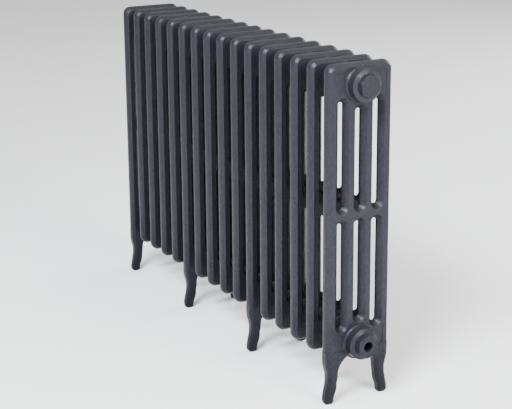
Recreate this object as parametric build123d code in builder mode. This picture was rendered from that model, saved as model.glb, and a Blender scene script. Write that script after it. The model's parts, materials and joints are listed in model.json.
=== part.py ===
from build123d import *
import os
from math import atan, cos, degrees, radians, sin

# Cast iron column radiator: sixteen hollow sections, each four columns deep, pulled together by screwed
# nipples and closed by a blank plug, two reducing bushes and an air vent.
# Frame: +X along the row of sections, front towards -Y, +Z up, origin on the floor under the middle.
# All dimensions are in millimetres.

# ---- driving dimensions: the row of sections ----
SECTION_COUNT = 16
PITCH = 60.0                     # from one section to the next
HEIGHT = 660.0
DEPTH = 140.5                    # over the outer columns
BODY_BOTTOM = 88.5               # underside of the lower header
THICK = 26.0                     # thickness of a section's columns, along X
FOOTED = (1, 6, 11, 16)          # sections cast with a pair of legs

# ---- the section's outline and columns ----
CORNER_R = 17.0
NOSE_HALF = 8.0                  # half width of the crowned face round the outline
NOSE_CROWN = 2.0                 # how far that face falls from its middle to its edge
BEVEL = 4.4                      # further fall from there to the flat side
NOSE_SOFT = 1.6                  # rounding of the crown's and the bevel's edges
RIM_DEPTH = 14.0                 # depth of the swept outer band
CORE_INSET = 10.0                # from the outline to the flat core slab, which the band overlaps
HEADER_TALL = 40.0               # height at either end that holds no slots
COLUMN_PITCH = 38.9              # between the slots' centre lines
SLOT_WAIST = 9.3                 # slot width at the middle of the casting, before rounding
SLOT_MOUTH = 29.1                # slot width at the outer faces, before rounding
BRIDGE_Z = 371.7                 # middle of the bridge between upper and lower slots
BRIDGE_HALF = 15.2               # its half height at the middle of the casting
SIDE_SLOT_END = 32.2             # from a hub's centre to the end of an outer slot
MID_SLOT_END = 47.2              # from a hub's centre to the end of the middle slot
SLOT_SOFT = 2.0                  # rounding of the slots' outer rims
WAIST_SOFT = 3.5                 # rounding of the columns at their widest

# ---- sunk header panels on the outer faces ----
PANEL_SINK = 1.2                 # depth at the panel's outer edge, fading to nothing by the slots
PANEL_HALF = 55.4
PANEL_MARGIN = 15.5              # from the top or bottom of the outline to the panel
PANEL_TALL = 58.0
PANEL_R = 6.0
PANEL_CUT = 4.0                  # thickness of the wedge that cuts a panel

# ---- hubs ----
HUB_Z = {"lower": 120.0, "upper": 620.0}
HUB_R = 31.0
HUB_ROOT_R = 35.5
HUB_ROOT_LENGTH = 6.0            # length of the hollow curve at the root of the boss
HUB_BORE_R = 21.0
JOINT_GAP = 1.0                  # between two hub faces, filled by the gasket
WALL = 3.4                       # casting wall
CAVITY_HALF = THICK / 2 - 4.5    # half thickness of the waterway
CAVITY_INSET = 7.8               # from the outline to the waterway

# ---- legs: height, inset of the outer face from the body's, depth along Y, thickness along X ----
LEG_STATIONS = (
    (0.0, 3.6, 13.0, 13.0),
    (3.0, 0.4, 18.6, 17.6),
    (10.0, -0.8, 20.6, 19.4),
    (22.0, 1.2, 22.0, 21.0),
    (36.0, 4.2, 22.0, 22.0),
    (50.0, 6.0, 21.8, 23.0),
    (62.0, 5.0, 23.6, 24.0),
    (72.0, 2.6, 28.2, 25.0),
    (80.0, 1.0, 34.0, 25.4),
    (88.0, 0.4, 42.0, 25.6),
    (106.0, 0.4, 50.0, 25.6),
)
LEG_CORNER = 0.32                # corner radius of a leg, as a share of its thickness

# ---- nipples, gaskets, plugs and bushes ----
FIT_GAP = 0.05                   # radial gap that stands in for the threads
NIPPLE_R = HUB_BORE_R - FIT_GAP
NIPPLE_LENGTH = 38.0
NIPPLE_WALL = 4.2
NIPPLE_LEAD = 1.0                # lead-in chamfer
LUG_DEPTH = 3.5
LUG_WIDTH = 5.0
LUG_ROOT = 1.0                   # how far a lug runs into the nipple's wall
GASKET_INNER_R = HUB_BORE_R + 0.4
GASKET_OUTER_R = HUB_R - 1.0
SHANK_LENGTH = 18.0
SHANK_BORE_R = 16.0
SHANK_BASE = 5.0                 # metal left at the bottom of the shank's hollow
FLANGE_R = 31.0
FLANGE_RIM = 0.8                 # straight part of a flange's rim
FLANGE = 4.6                     # flange thickness, bevel included
FLANGE_TOP_R = 22.8
PLUG_HEX_AF = 39.0
PLUG_PROUD = 15.0                # hexagon's face beyond the end plane
PLUG_HEX_TURN = 42.0
VENT_BUSH_PROUD = 10.0
BUSH_HEX_AF = 40.7
BUSH_PROUD = 18.0
BUSH_HEX_TURN = 25.0
HEX_SOFT = 0.4
TAPPING_R = 9.5                  # half inch pipe thread, taken at mid thread
TAPPING_LEAD = 1.0
PAST = 1.0                       # how far a cut runs past the metal
TOLERANCE = 0.01

# ---- air vent ----
VENT_SHANK_LENGTH = 12.0
VENT_WASHER = 1.0
VENT_WASHER_R = 12.5
VENT_WASHER_PLAY = 0.2           # radial, round the vent's shank
VENT_COLLAR_AF = 22.0
VENT_COLLAR = 3.0
VENT_NOSE_R = 6.0
VENT_NOSE = 4.0
VENT_MOUTH_R = 4.2
VENT_MOUTH_DEPTH = 6.0
VENT_SEAT_R = 1.5
VENT_SEAT_DEPTH = 3.0
VENT_PORT_R = 1.0
SPINDLE_R = 3.0
SPINDLE_SQUARE = 5.0
SPINDLE_HEAD = 5.0
SPINDLE_SHANK = 8.0
SPINDLE_LIFT = 0.5               # between the head and the floor of the vent's mouth

# ---- worked out from the above ----
HALF_ROW = SECTION_COUNT * PITCH / 2
BODY_MID_Z = (BODY_BOTTOM + HEIGHT) / 2
BODY_TALL = HEIGHT - BODY_BOTTOM
HUB_FACE = (PITCH - JOINT_GAP) / 2
SLOT_TAPER = degrees(atan((SLOT_MOUTH - SLOT_WAIST) / THICK))
SLOT_GROWTH = WALL / cos(radians(SLOT_TAPER))
PANEL_X = THICK / 2 - PANEL_SINK
PANEL_TILT = degrees(atan(PANEL_SINK / PANEL_TALL))


def slot_spans():
    """Y, middle height and length of each of the six slots, at the casting's mid plane."""
    spans = []
    for column in (-1, 0, 1):
        end = MID_SLOT_END if column == 0 else SIDE_SLOT_END
        for low, high in ((HUB_Z["lower"] + end, BRIDGE_Z - BRIDGE_HALF),
                          (BRIDGE_Z + BRIDGE_HALF, HUB_Z["upper"] - end)):
            spans.append((column * COLUMN_PITCH, (low + high) / 2, high - low))
    return spans


def slot_tool(growth):
    """Six slots that widen from the mid plane to both faces, each grown all round by `growth`."""
    with BuildPart() as tool:
        with BuildSketch(Plane.YZ):
            for y, z, length in slot_spans():
                with Locations((y, z)):
                    SlotOverall(length + 2 * growth, SLOT_WAIST + 2 * growth, rotation=90)
        extrude(amount=THICK, both=True, taper=-SLOT_TAPER)
    return tool.part


def outer_band():
    """The crowned, bevelled band that runs all the way round a section's outline."""
    with BuildSketch(Plane.YZ) as outline:
        with Locations((0, BODY_MID_Z)):
            RectangleRounded(DEPTH, BODY_TALL, CORNER_R)
    route = outline.sketch.wire()
    side = THICK / 2
    fall = NOSE_CROWN + BEVEL
    with BuildPart() as band:
        with BuildSketch(Plane(origin=route @ 0, x_dir=(1, 0, 0), z_dir=route % 0)) as profile:
            with BuildLine():
                ThreePointArc((-NOSE_HALF, -NOSE_CROWN), (0, 0), (NOSE_HALF, -NOSE_CROWN))
                Polyline((NOSE_HALF, -NOSE_CROWN), (side, -fall), (side, -RIM_DEPTH),
                         (-side, -RIM_DEPTH), (-side, -fall), (-NOSE_HALF, -NOSE_CROWN))
            make_face()
            fillet(profile.vertices().sort_by(SortBy.DISTANCE)[-4:], NOSE_SOFT)
        sweep(path=route)
    return band.part


def hub_tool():
    """Both hub bosses, each with a hollow curve where it grows out of the header."""
    with BuildPart() as tool:
        for z in HUB_Z.values():
            with BuildSketch(Plane.XZ) as section:
                with BuildLine():
                    root = (PANEL_X, z + HUB_ROOT_R)
                    neck = (PANEL_X + HUB_ROOT_LENGTH, z + HUB_R)
                    Polyline((0, z), (0, z + HUB_ROOT_R), root)
                    Spline(root, neck, tangents=[(0.3, -1), (1, 0)])
                    Polyline(neck, (HUB_FACE, z + HUB_R), (HUB_FACE, z), (0, z))
                make_face()
            revolve(axis=Axis((0, 0, z), (1, 0, 0)))
        mirror(about=Plane.YZ)
    return tool.part


def waterway_tool(slots):
    """The hollow inside a section: both headers, the bridge, four columns and the two hub bores."""
    wide = DEPTH - 2 * CAVITY_INSET
    tall = BODY_TALL - 2 * CAVITY_INSET
    with BuildPart() as tool:
        with BuildSketch(Plane.YZ):
            with Locations((0, BODY_MID_Z)):
                RectangleRounded(wide, tall, CORNER_R - WALL)
        extrude(amount=CAVITY_HALF, both=True)
        add(slots, mode=Mode.SUBTRACT)
        for z in HUB_Z.values():
            with BuildSketch(Plane.YZ):
                with Locations((0, z)):
                    Circle(HUB_BORE_R)
            extrude(amount=PITCH, both=True)
    return tool.part


def leg_tool():
    """The front and the rear leg, each a curved foot that grows out of an outer column."""
    with BuildPart() as tool:
        for z, inset, depth, thick in LEG_STATIONS:
            with BuildSketch(Plane.XY.offset(z)):
                with Locations((0, inset + depth / 2 - DEPTH / 2)):
                    RectangleRounded(thick, depth, LEG_CORNER * thick)
        loft()
        mirror(about=Plane.XZ)
    return tool.part


def in_plane(edge, x):
    """True if the edge lies in the plane at this X."""
    box = edge.bounding_box()
    return abs(box.min.X - x) < TOLERANCE and abs(box.max.X - x) < TOLERANCE


def panel_tool():
    """Wedges that sink the four header panels, deepest beside the outline's top and bottom."""
    with BuildPart() as tool:
        for side in (1, -1):
            for up, edge_z in ((1, HEIGHT - PANEL_MARGIN), (-1, BODY_BOTTOM + PANEL_MARGIN)):
                lean = radians(PANEL_TILT) * up * side
                face = Plane(origin=(side * PANEL_X, 0, edge_z), x_dir=(0, 1, 0),
                             z_dir=(side * cos(lean), 0, sin(lean) * side))
                with BuildSketch(face):
                    with Locations((0, -up * side * PANEL_TALL)):
                        RectangleRounded(2 * PANEL_HALF, 2 * PANEL_TALL, PANEL_R)
                extrude(amount=PANEL_CUT)
    return tool.part


def casting(pieces, footed):
    """One hollow section centred on X = 0, with or without its pair of legs."""
    wide = DEPTH - 2 * CORE_INSET
    tall = BODY_TALL - 2 * CORE_INSET
    inner = DEPTH / 2 - RIM_DEPTH
    with BuildPart() as section:
        with BuildSketch(Plane.YZ):
            with Locations((0, BODY_MID_Z)):
                RectangleRounded(wide, tall, CORNER_R - CORE_INSET)
        extrude(amount=THICK / 2, both=True)
        add(pieces["band"])
        add(pieces["slots"], mode=Mode.SUBTRACT)
        fillet(section.edges().filter_by(lambda edge: in_plane(edge, 0)), WAIST_SOFT)
        for side in (1, -1):
            rims = section.edges().filter_by(lambda edge: in_plane(edge, side * THICK / 2))
            rims = rims.filter_by_position(Axis.Y, -inner, inner)
            rims = rims.filter_by_position(Axis.Z, BODY_BOTTOM + HEADER_TALL, HEIGHT - HEADER_TALL)
            fillet(rims, SLOT_SOFT)
        add(pieces["panels"], mode=Mode.SUBTRACT)
        add(pieces["hubs"])
        if footed:
            add(pieces["legs"])
        add(pieces["waterway"], mode=Mode.SUBTRACT)
    return section.part


def end_plane(side, z, out):
    """Plane across the row's end, `out` beyond the last section's space, facing away from the row."""
    return Plane(origin=(side * (HALF_ROW + out), 0, z), x_dir=(0, side, 0), z_dir=(side, 0, 0))


def nipple_at(x, z):
    """Hollow screwed nipple with two driving lugs inside, centred on a joint."""
    inner_r = NIPPLE_R - NIPPLE_WALL
    lug_y = inner_r - (LUG_DEPTH - LUG_ROOT) / 2
    with BuildPart() as nipple:
        with BuildSketch(Plane.YZ.offset(x)):
            with Locations((0, z)):
                Circle(NIPPLE_R)
                Circle(inner_r, mode=Mode.SUBTRACT)
            with Locations((lug_y, z), (-lug_y, z)):
                Rectangle(LUG_DEPTH + LUG_ROOT, LUG_WIDTH)
        extrude(amount=NIPPLE_LENGTH / 2, both=True)
        chamfer(nipple.edges().filter_by(GeomType.CIRCLE).sort_by(SortBy.RADIUS)[-2:], NIPPLE_LEAD)
    return nipple.part


def gaskets_at(level_z, places):
    """Thin rings between hub faces, one solid at each X in `places`."""
    with BuildPart() as rings:
        for x in places:
            with BuildSketch(Plane.YZ.offset(x)):
                with Locations((0, level_z)):
                    Circle(GASKET_OUTER_R)
                    Circle(GASKET_INNER_R, mode=Mode.SUBTRACT)
            extrude(amount=JOINT_GAP / 2, both=True)
    return rings.part


def end_fitting(side, z, hex_af, proud, turn, tapped):
    """Plug or bush: flange, hexagon and hollow shank, with or without a threaded hole through it."""
    seat = end_plane(side, z, JOINT_GAP / 2)
    bevel = degrees(atan((FLANGE_R - FLANGE_TOP_R) / (FLANGE - FLANGE_RIM)))
    with BuildPart() as fitting:
        with BuildSketch(seat):
            Circle(FLANGE_R)
        extrude(amount=FLANGE_RIM)
        with BuildSketch(seat.offset(FLANGE_RIM)):
            Circle(FLANGE_R)
        extrude(amount=FLANGE - FLANGE_RIM, taper=bevel)
        with BuildSketch(seat.offset(FLANGE_RIM)):
            RegularPolygon(hex_af / 2, 6, major_radius=False, rotation=turn)
        extrude(amount=proud - JOINT_GAP / 2 - FLANGE_RIM)
        crown = fitting.faces().sort_by(Axis.X)[-1 if side > 0 else 0]
        chamfer(crown.edges(), HEX_SOFT)
        with BuildSketch(seat):
            Circle(NIPPLE_R)
        extrude(amount=-SHANK_LENGTH - JOINT_GAP)
        with BuildSketch(seat.offset(-SHANK_LENGTH - JOINT_GAP)):
            Circle(SHANK_BORE_R)
        extrude(amount=SHANK_LENGTH + JOINT_GAP - SHANK_BASE, mode=Mode.SUBTRACT)
        if tapped:
            mouth = end_plane(side, z, proud)
            with BuildSketch(mouth):
                Circle(TAPPING_R)
            extrude(amount=-proud - SHANK_BASE - PAST, mode=Mode.SUBTRACT)
            with BuildSketch(mouth):
                Circle(TAPPING_R + TAPPING_LEAD)
            extrude(amount=-TAPPING_LEAD, taper=45, mode=Mode.SUBTRACT)
    return fitting.part


def vent_washer(side, z, out):
    """Sealing washer under the air vent's collar."""
    with BuildPart() as washer:
        with BuildSketch(end_plane(side, z, out)):
            Circle(VENT_WASHER_R)
            Circle(TAPPING_R + VENT_WASHER_PLAY, mode=Mode.SUBTRACT)
        extrude(amount=VENT_WASHER)
    return washer.part


def vent_body(side, z, out):
    """Air vent: shank in the bush, hexagonal collar, and a nose that is open for the spindle's head."""
    seat = end_plane(side, z, out)
    tip = seat.offset(VENT_COLLAR + VENT_NOSE)
    inner_end = VENT_SHANK_LENGTH + VENT_WASHER
    whole = inner_end + VENT_COLLAR + VENT_NOSE
    with BuildPart() as body:
        with BuildSketch(seat):
            RegularPolygon(VENT_COLLAR_AF / 2, 6, major_radius=False)
        extrude(amount=VENT_COLLAR)
        with BuildSketch(seat.offset(VENT_COLLAR)):
            Circle(VENT_NOSE_R)
        extrude(amount=VENT_NOSE)
        with BuildSketch(seat):
            Circle(TAPPING_R - FIT_GAP)
        extrude(amount=-inner_end)
        with BuildSketch(tip):
            Circle(VENT_MOUTH_R)
        extrude(amount=-VENT_MOUTH_DEPTH, mode=Mode.SUBTRACT)
        with BuildSketch(tip):
            Circle(SPINDLE_R + FIT_GAP)
        extrude(amount=-whole + VENT_SEAT_DEPTH, mode=Mode.SUBTRACT)
        with BuildSketch(tip):
            Circle(VENT_SEAT_R)
        extrude(amount=-whole, mode=Mode.SUBTRACT)
        with BuildSketch(Plane.XY.offset(z)):
            with Locations((side * (HALF_ROW + out + VENT_COLLAR + VENT_NOSE / 2), 0)):
                Circle(VENT_PORT_R)
        extrude(amount=-VENT_NOSE_R - PAST, mode=Mode.SUBTRACT)
    return body.part


def vent_spindle(side, z, out):
    """Bleed spindle: a square head in the vent's mouth, a round shank and a pointed end."""
    head = end_plane(side, z, out + VENT_COLLAR + VENT_NOSE - VENT_MOUTH_DEPTH + SPINDLE_LIFT)
    with BuildPart() as spindle:
        with BuildSketch(head):
            Rectangle(SPINDLE_SQUARE, SPINDLE_SQUARE)
        extrude(amount=SPINDLE_HEAD)
        with BuildSketch(head):
            Circle(SPINDLE_R)
        extrude(amount=-SPINDLE_SHANK)
        with BuildSketch(head.offset(-SPINDLE_SHANK)):
            Circle(SPINDLE_R)
        extrude(amount=-SPINDLE_R + VENT_SEAT_R / 2, taper=45)
    return spindle.part


def save(piece, name):
    """Label a finished piece and write its STEP file."""
    piece.label = name
    export_step(piece, f"parts/{name}.step")


os.makedirs("parts", exist_ok=True)
tools = {"band": outer_band(), "slots": slot_tool(0), "panels": panel_tool(),
         "hubs": hub_tool(), "legs": leg_tool(), "waterway": waterway_tool(slot_tool(SLOT_GROWTH))}
plain = casting(tools, False)
footed = casting(tools, True)
for number in range(1, SECTION_COUNT + 1):
    with BuildPart() as section:
        with Locations(((number - (SECTION_COUNT + 1) / 2) * PITCH, 0, 0)):
            add(footed if number in FOOTED else plain)
    save(section.part, f"section_{number:02d}")

joints = [(number - SECTION_COUNT / 2) * PITCH for number in range(1, SECTION_COUNT)]
for level, level_z in HUB_Z.items():
    for number, x in enumerate(joints, start=1):
        save(nipple_at(x, level_z), f"nipple_{level}_{number:02d}")
    save(gaskets_at(level_z, joints), f"joint_gaskets_{level}")
    save(gaskets_at(level_z, (-HALF_ROW, HALF_ROW)), f"end_gaskets_{level}")

LOW, HIGH = HUB_Z["lower"], HUB_Z["upper"]
NEAR, FAR = 1, -1
save(end_fitting(NEAR, HIGH, PLUG_HEX_AF, PLUG_PROUD, PLUG_HEX_TURN, False), "blank_plug")
save(end_fitting(NEAR, LOW, BUSH_HEX_AF, BUSH_PROUD, BUSH_HEX_TURN, True), "near_reducing_bush")
save(end_fitting(FAR, LOW, BUSH_HEX_AF, BUSH_PROUD, BUSH_HEX_TURN, True), "far_reducing_bush")
save(end_fitting(FAR, HIGH, PLUG_HEX_AF, VENT_BUSH_PROUD, PLUG_HEX_TURN, True), "vent_bush")
save(vent_washer(FAR, HIGH, VENT_BUSH_PROUD), "vent_washer")
save(vent_body(FAR, HIGH, VENT_BUSH_PROUD + VENT_WASHER), "vent_body")
save(vent_spindle(FAR, HIGH, VENT_BUSH_PROUD + VENT_WASHER), "vent_spindle")
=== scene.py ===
import json
import math

import bpy
from mathutils import Matrix, Vector


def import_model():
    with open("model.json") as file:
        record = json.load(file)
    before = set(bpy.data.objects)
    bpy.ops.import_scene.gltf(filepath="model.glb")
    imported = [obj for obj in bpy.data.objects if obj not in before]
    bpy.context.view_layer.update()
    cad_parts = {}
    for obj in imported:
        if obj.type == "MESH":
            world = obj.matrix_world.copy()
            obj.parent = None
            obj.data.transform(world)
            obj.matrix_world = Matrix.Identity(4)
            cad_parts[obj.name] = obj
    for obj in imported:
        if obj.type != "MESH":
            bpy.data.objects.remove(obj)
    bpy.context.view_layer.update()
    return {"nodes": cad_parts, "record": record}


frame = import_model()

# ---------- camera, in degrees, metres and millimetres of lens ----------
CAMERA_AZIMUTH = 60.93
CAMERA_ELEVATION = 14.217
CAMERA_ROLL = -0.445
CAMERA_PLACE = (2.4108, -1.3039, 1.0813)
LENS = 91.95
SENSOR = 36.0
LENS_DROP = 0.0977  # how far the frame sits below the lens axis, as a share of its width

# ---------- paint ----------
PAINT = (0.0142, 0.0143, 0.0196)
FITTING_PAINT = tuple(c * 1.02 for c in PAINT)
DUST = (0.034, 0.034, 0.035)
# painted shade: near-black that the paint is darkened towards by the floor, standing in for less light
# at the foot
PAINTED_SHADE = (0.002, 0.002, 0.002)
PIT_SCALE = 200.0  # features per metre
GRIT_SCALE = 520.0
WAVE_SCALE = 38.0
CLOUD_SCALE = 9.0
PIT_TONES = (0.68, 1.34)  # darkest and lightest of the pitted paint, as factors of its tone
PIT_GLOSS = (0.54, 0.32)  # roughness where the paint is darkest and lightest
CLOUD_TONE = 1.30
CLOUD_SHARE = 0.35
DUST_AMOUNT = (0.15, 0.5)
DUST_ROUGHNESS = 0.25
PAINT_METALLIC = 0.45
PAINTED_SHADE_BOTTOM = 0.02  # height where the painted shade towards the floor is full
PAINTED_SHADE_TOP = 0.16  # height where the painted shade ends
# how much of the painted shade is mixed into the paint at the floor
PAINTED_SHADE_SHARE = 0.45
PAINTED_SHADE_SPECULAR_TOP = 0.20  # height where the lower specular level of the painted shade ends
SPECULAR_IN_PAINTED_SHADE, SPECULAR_ABOVE_PAINTED_SHADE = 0.12, 0.34  # specular level by the floor, lowered as painted shade, and above the legs
WAVE_DEPTH, PIT_DEPTH, GRIT_DEPTH = 0.0030, 0.0020, 0.0010
WAVE_STRENGTH = 0.35
CASTING_GRAIN = 0.42
FITTING_GRAIN = 0.20

# ---------- bare metal and fibre ----------
MOTTLE_SCALE = 160.0
FINE_SCALE = 1400.0
METAL_TONES = (0.72, 1.10)
POLISH_SPREAD = (-0.08, 0.10)  # added to a metal's roughness, smoothest and roughest
MOTTLE_DEPTH, MOTTLE_STRENGTH = 0.0006, 0.25
FINE_DEPTH, FINE_STRENGTH = 0.0003, 0.3
WEAVE_SCALE = 900.0
FIBRE_TONES = (0.65, 1.25)
FIBRE_ROUGHNESS = (0.95, 0.75)
FIBRE_DEPTH, FIBRE_STRENGTH = 0.0006, 0.5

# ---------- floor and light ----------
FLOOR_REACH = 9.0
FLOOR_TONES = ((0.86, 0.86, 0.86), (0.90, 0.90, 0.90))
FLOOR_CLOUD_SCALE = 3.0
FLOOR_ROUGHNESS = 0.9
WORLD_STRENGTH = 0.85
# name, place, target, size, power in watts, colour
LIGHTS = (
    ("key", (1.5, -1.9, 2.6), (0.2, 0, 0.6), (1.3, 0.9), 350.0, (0.90, 0.94, 1.0)),
    ("side", (3.8, 0.6, 2.2), (0.2, 0, 0.35), (1.5, 1.5), 235.0, (1.0, 0.98, 0.95)),
    ("fill", (-0.5, 4.2, 1.9), (-0.1, 0, 0.35), (2.2, 2.2), 200.0, (0.95, 0.97, 1.0)),
)


def camera():
    """The camera, looking from its azimuth and elevation with a slight roll."""
    a, e, r = (math.radians(v) for v in (CAMERA_AZIMUTH, CAMERA_ELEVATION, CAMERA_ROLL))
    back = Vector((math.sin(a) * math.cos(e), -math.cos(a) * math.cos(e), math.sin(e)))
    level = Vector((0, 0, 1)).cross(back).normalized()
    upright = back.cross(level)
    right = level * math.cos(r) + upright * math.sin(r)
    up = -level * math.sin(r) + upright * math.cos(r)
    data = bpy.data.cameras.new("camera")
    data.lens = LENS
    data.sensor_width = SENSOR
    data.shift_y = -LENS_DROP
    made = bpy.data.objects.new("camera", data)
    turned = Matrix((right, up, back)).transposed().to_4x4()
    made.matrix_world = Matrix.Translation(CAMERA_PLACE) @ turned
    bpy.context.scene.collection.objects.link(made)
    bpy.context.scene.camera = made


class Look:
    """One procedural material, built a node at a time."""

    def __init__(self, name):
        self.mat = bpy.data.materials.new(name)
        self.mat.use_nodes = True
        self.tree = self.mat.node_tree
        self.bsdf = self.tree.nodes["Principled BSDF"]
        self.place = self.tree.nodes.new("ShaderNodeTexCoord").outputs["Object"]
        self.normal = self.tree.nodes.new("ShaderNodeNewGeometry").outputs["Normal"]

    def put(self, source, target):
        """Link a socket to the target, or set a constant on it."""
        if isinstance(source, bpy.types.NodeSocket):
            self.tree.links.new(source, target)
        else:
            target.default_value = source

    def noise(self, scale, detail=2.0, roughness=0.5):
        """Noise in the object's own coordinates, with `scale` features per metre."""
        node = self.tree.nodes.new("ShaderNodeTexNoise")
        self.tree.links.new(self.place, node.inputs["Vector"])
        node.inputs["Scale"].default_value = scale
        node.inputs["Detail"].default_value = detail
        node.inputs["Roughness"].default_value = roughness
        return node.outputs["Fac"]

    def remap(self, value, low, high, to_low=0.0, to_high=1.0):
        node = self.tree.nodes.new("ShaderNodeMapRange")
        self.put(value, node.inputs["Value"])
        node.inputs["From Min"].default_value = low
        node.inputs["From Max"].default_value = high
        node.inputs["To Min"].default_value = to_low
        node.inputs["To Max"].default_value = to_high
        return node.outputs["Result"]

    def math(self, kind, a, b):
        node = self.tree.nodes.new("ShaderNodeMath")
        node.operation = kind
        self.put(a, node.inputs[0])
        self.put(b, node.inputs[1])
        return node.outputs["Value"]

    def mix(self, share, a, b):
        node = self.tree.nodes.new("ShaderNodeMix")
        node.data_type = "RGBA"
        self.put(share, node.inputs["Factor"])
        self.put(a, node.inputs["A"])
        self.put(b, node.inputs["B"])
        return node.outputs["Result"]

    def up_part(self, vector):
        """The Z component of a vector socket."""
        node = self.tree.nodes.new("ShaderNodeSeparateXYZ")
        self.tree.links.new(vector, node.inputs["Vector"])
        return node.outputs["Z"]

    def bump(self, height, distance, strength, under=None):
        node = self.tree.nodes.new("ShaderNodeBump")
        node.inputs["Distance"].default_value = distance
        node.inputs["Strength"].default_value = strength
        self.tree.links.new(height, node.inputs["Height"])
        if under is not None:
            self.tree.links.new(under, node.inputs["Normal"])
        return node.outputs["Normal"]


def rgba(tone, factor=1.0):
    return (tone[0] * factor, tone[1] * factor, tone[2] * factor, 1.0)


def cast_paint(name, tone, grain):
    """Satin paint over a sand-cast skin. `grain` sets how rough the skin under the paint is."""
    look = Look(name)
    pits = look.noise(PIT_SCALE, 3.0, 0.6)
    grit = look.noise(GRIT_SCALE, 2.0, 0.6)
    waves = look.noise(WAVE_SCALE, 2.0, 0.45)
    clouds = look.noise(CLOUD_SCALE, 4.0, 0.55)
    height = look.up_part(look.place)

    dark, light = rgba(tone, PIT_TONES[0]), rgba(tone, PIT_TONES[1])
    pitted = look.mix(look.remap(pits, 0.34, 0.66), dark, light)
    cloud = look.math("MULTIPLY", look.remap(clouds, 0.35, 0.65), CLOUD_SHARE)
    clouded = look.mix(cloud, pitted, rgba(tone, CLOUD_TONE))
    facing_up = look.remap(look.up_part(look.normal), 0.55, 1.0)
    dust = look.math("MULTIPLY", facing_up, look.remap(waves, 0.35, 0.7, *DUST_AMOUNT))
    dusty = look.mix(dust, clouded, rgba(DUST))
    # painted shade: the paint gets darker towards the floor, standing in for less light reaching the
    # legs
    painted_floor_shade = look.remap(height, PAINTED_SHADE_BOTTOM, PAINTED_SHADE_TOP, PAINTED_SHADE_SHARE, 0.0)
    look.put(look.mix(painted_floor_shade, dusty, rgba(PAINTED_SHADE)), look.bsdf.inputs["Base Color"])

    gloss = look.remap(pits, 0.3, 0.7, *PIT_GLOSS)
    dulled = look.math("ADD", gloss, look.math("MULTIPLY", dust, DUST_ROUGHNESS))
    look.put(dulled, look.bsdf.inputs["Roughness"])
    look.put(PAINT_METALLIC, look.bsdf.inputs["Metallic"])
    # painted shade: the specular level is lowered towards the floor, so the legs reflect less light
    level = look.remap(height, PAINTED_SHADE_BOTTOM, PAINTED_SHADE_SPECULAR_TOP, SPECULAR_IN_PAINTED_SHADE, SPECULAR_ABOVE_PAINTED_SHADE)
    look.put(level, look.bsdf.inputs["Specular IOR Level"])

    rolled = look.bump(waves, WAVE_DEPTH, WAVE_STRENGTH)
    sandy = look.bump(pits, PIT_DEPTH, grain, rolled)
    look.put(look.bump(grit, GRIT_DEPTH, grain, sandy), look.bsdf.inputs["Normal"])
    return look.mat


def bare_metal(name, tone, roughness):
    """Unpainted metal with a faint mottle and a fine grain."""
    look = Look(name)
    mottle = look.noise(MOTTLE_SCALE, 4.0, 0.55)
    fine = look.noise(FINE_SCALE, 2.0, 0.5)
    dark, light = rgba(tone, METAL_TONES[0]), rgba(tone, METAL_TONES[1])
    look.put(look.mix(look.remap(mottle, 0.35, 0.65), dark, light), look.bsdf.inputs["Base Color"])
    smooth, rough = (roughness + change for change in POLISH_SPREAD)
    polish = look.remap(fine, 0.3, 0.7, smooth, rough)
    look.put(polish, look.bsdf.inputs["Roughness"])
    look.put(1.0, look.bsdf.inputs["Metallic"])
    dimpled = look.bump(mottle, MOTTLE_DEPTH, MOTTLE_STRENGTH)
    look.put(look.bump(fine, FINE_DEPTH, FINE_STRENGTH, dimpled), look.bsdf.inputs["Normal"])
    return look.mat


def fibre(name, tone):
    """Pressed fibre, as in gaskets and washers."""
    look = Look(name)
    weave = look.noise(WEAVE_SCALE, 4.0, 0.7)
    dark, light = rgba(tone, FIBRE_TONES[0]), rgba(tone, FIBRE_TONES[1])
    look.put(look.mix(look.remap(weave, 0.3, 0.7), dark, light), look.bsdf.inputs["Base Color"])
    look.put(look.remap(weave, 0.3, 0.7, *FIBRE_ROUGHNESS), look.bsdf.inputs["Roughness"])
    look.put(look.bump(weave, FIBRE_DEPTH, FIBRE_STRENGTH), look.bsdf.inputs["Normal"])
    return look.mat


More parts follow.
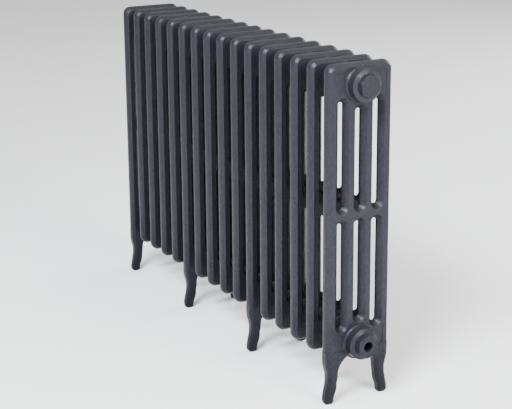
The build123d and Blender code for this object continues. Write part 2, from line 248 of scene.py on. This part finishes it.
def floor():
    """The plain pale floor, as a stage that isn't part of the object."""
    reach = FLOOR_REACH
    corners = [(-reach, -reach, 0), (reach, -reach, 0), (reach, reach, 0), (-reach, reach, 0)]
    mesh = bpy.data.meshes.new("floor")
    mesh.from_pydata(corners, [], [(0, 1, 2, 3)])
    made = bpy.data.objects.new("floor", mesh)
    bpy.context.scene.collection.objects.link(made)
    look = Look("pale_floor")
    tone = look.mix(look.noise(FLOOR_CLOUD_SCALE, 3.0, 0.5), rgba(FLOOR_TONES[0]), rgba(FLOOR_TONES[1]))
    look.put(tone, look.bsdf.inputs["Base Color"])
    look.put(FLOOR_ROUGHNESS, look.bsdf.inputs["Roughness"])
    mesh.materials.append(look.mat)


def panel_light(name, place, target, size, power, colour):
    data = bpy.data.lights.new(name, "AREA")
    data.shape = "RECTANGLE"
    data.size, data.size_y = size
    data.energy = power
    data.color = colour
    made = bpy.data.objects.new(name, data)
    made.location = place
    made.rotation_mode = "QUATERNION"
    made.rotation_quaternion = (Vector(target) - Vector(place)).to_track_quat("-Z", "Y")
    bpy.context.scene.collection.objects.link(made)


def world():
    made = bpy.data.worlds.new("studio")
    made.use_nodes = True
    back = made.node_tree.nodes["Background"]
    back.inputs["Color"].default_value = rgba((1.0, 1.0, 1.0))
    back.inputs["Strength"].default_value = WORLD_STRENGTH
    bpy.context.scene.world = made


looks = {
    "casting": cast_paint("casting_paint", PAINT, CASTING_GRAIN),
    "plug": cast_paint("fitting_paint", FITTING_PAINT, FITTING_GRAIN),
    "nipple": bare_metal("bare_iron", (0.22, 0.20, 0.18), 0.55),
    "gasket": fibre("graphite_fibre", (0.045, 0.040, 0.038)),
    "washer": fibre("red_fibre", (0.33, 0.045, 0.03)),
    "vent": bare_metal("plated_brass", (0.36, 0.35, 0.33), 0.32),
    "spindle": bare_metal("yellow_brass", (0.66, 0.47, 0.20), 0.30),
}
for entry in frame["record"]["subparts"]:
    node = frame["nodes"][entry["node"]]
    for cell in node.material_slots:
        cell.material = looks[entry["material_slot"]]

floor()
world()
for light in LIGHTS:
    panel_light(*light)
camera()
